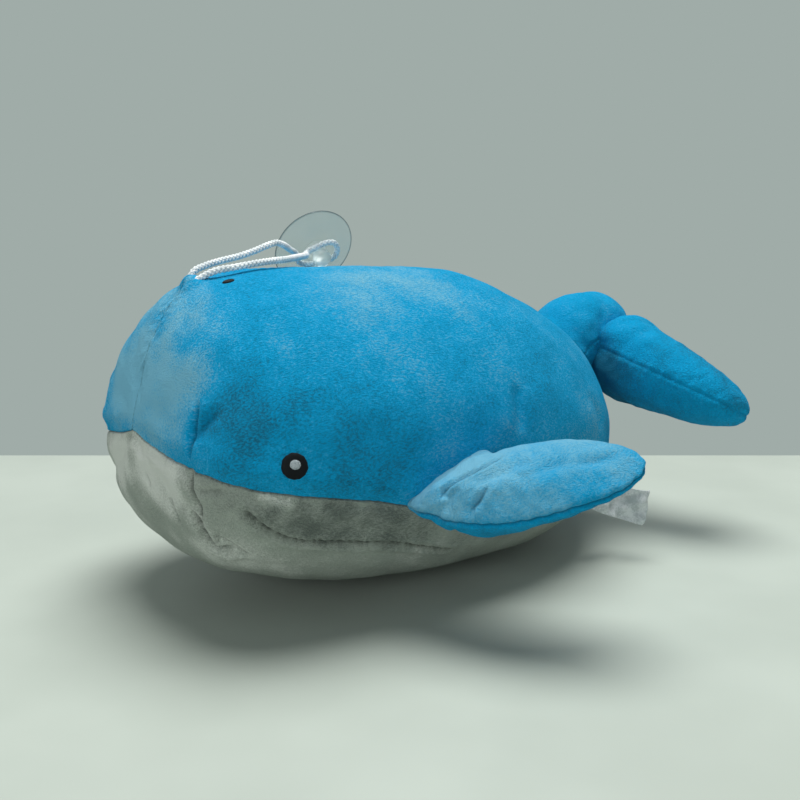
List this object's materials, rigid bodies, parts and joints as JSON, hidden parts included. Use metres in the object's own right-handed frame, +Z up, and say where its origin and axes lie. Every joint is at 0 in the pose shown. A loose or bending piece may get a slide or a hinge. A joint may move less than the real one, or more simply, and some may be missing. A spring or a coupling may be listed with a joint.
{
  "type": "plush whale",
  "caption": "Stuffed whale toy that rests on its belly, with flippers, tail and flukes that bend, and a cord loop with a suction cup to hang it by.",
  "frame": {"origin": "centre of the flat on the underside of the belly on which the toy rests", "axes": "+X from the snout towards the tail, -Y to the whale's own left, +Z up"},
  "size_m": [0.334, 0.3264, 0.1846],
  "materials": {
    "blue_plush": "short soft velvety pile, matt with a pale nap where it is brushed",
    "grey_plush": "short soft velvety pile, warm light grey, matt",
    "stuffing": "white polyester fibre filling",
    "black_thread": "satin-stitched black embroidery thread",
    "white_thread": "satin-stitched pale embroidery thread",
    "cord": "round braided white cord",
    "satin": "thin woven satin ribbon, slightly glossy, blank",
    "clear_vinyl": "clear soft vinyl, smooth"
  },
  "bodies": {
    "root": {"back_panel_left": "blue_plush", "back_panel_right": "blue_plush", "belly_panel": "grey_plush", "body_fill": "stuffing", "eye_left": "black_thread", "eye_right": "black_thread", "eye_glint_left": "white_thread", "eye_glint_right": "white_thread", "blowhole_left": "black_thread", "blowhole_right": "black_thread", "care_label": "satin"},
    "flipper_left": {"flipper_left_upper_skin": "blue_plush", "flipper_left_lower_skin": "blue_plush", "flipper_left_fill": "stuffing"},
    "flipper_right": {"flipper_right_upper_skin": "blue_plush", "flipper_right_lower_skin": "blue_plush", "flipper_right_fill": "stuffing"},
    "tail": {"tail_stem_upper_skin": "blue_plush", "tail_stem_lower_skin": "blue_plush", "tail_stem_fill": "stuffing"},
    "fluke_left": {"fluke_left_upper_skin": "blue_plush", "fluke_left_lower_skin": "blue_plush", "fluke_left_fill": "stuffing"},
    "fluke_right": {"fluke_right_upper_skin": "blue_plush", "fluke_right_lower_skin": "blue_plush", "fluke_right_fill": "stuffing"},
    "hang_loop": {"hang_cord": "cord"},
    "cup": {"suction_cup": "clear_vinyl"}
  },
  "joints": [
    {"name": "flipper_left_flap", "type": "hinge", "parent": "root", "child": "flipper_left", "pos_m": [-0.04573, -0.09714, 0.06539], "axis": [-0.9211, 0.0652, -0.3838], "range_deg": [-25, 35], "stiffness_Nm_per_rad": 0.35},
    {"name": "flipper_right_flap", "type": "hinge", "parent": "root", "child": "flipper_right", "pos_m": [-0.04573, 0.09714, 0.06539], "axis": [0.9211, 0.0652, 0.3838], "range_deg": [-25, 35], "stiffness_Nm_per_rad": 0.35},
    {"name": "tail_bend", "type": "hinge", "parent": "root", "child": "tail", "pos_m": [0.11322, 0, 0.10537], "axis": [0, -1, 0], "range_deg": [-12, 12], "stiffness_Nm_per_rad": 1.5},
    {"name": "fluke_left_flap", "type": "hinge", "parent": "tail", "child": "fluke_left", "pos_m": [0.14362, -0.02941, 0.09631], "axis": [-0.9272, 0, 0.3746], "range_deg": [-18, 18], "stiffness_Nm_per_rad": 0.4},
    {"name": "fluke_right_flap", "type": "hinge", "parent": "tail", "child": "fluke_right", "pos_m": [0.14362, 0.02941, 0.09631], "axis": [0.9272, 0, -0.3746], "range_deg": [-18, 18], "stiffness_Nm_per_rad": 0.4},
    {"name": "hang_loop_swing", "type": "hinge", "parent": "root", "child": "hang_loop", "pos_m": [-0.12512, 0, 0.15338], "axis": [0, -1, 0], "range_deg": [0, 120]},
    {"name": "suction_cup_spin", "type": "hinge", "parent": "hang_loop", "child": "cup", "pos_m": [-0.0326, 0.043, 0.1649], "axis": [-0.06, -0.873, -0.484], "continuous": true}
  ]
}
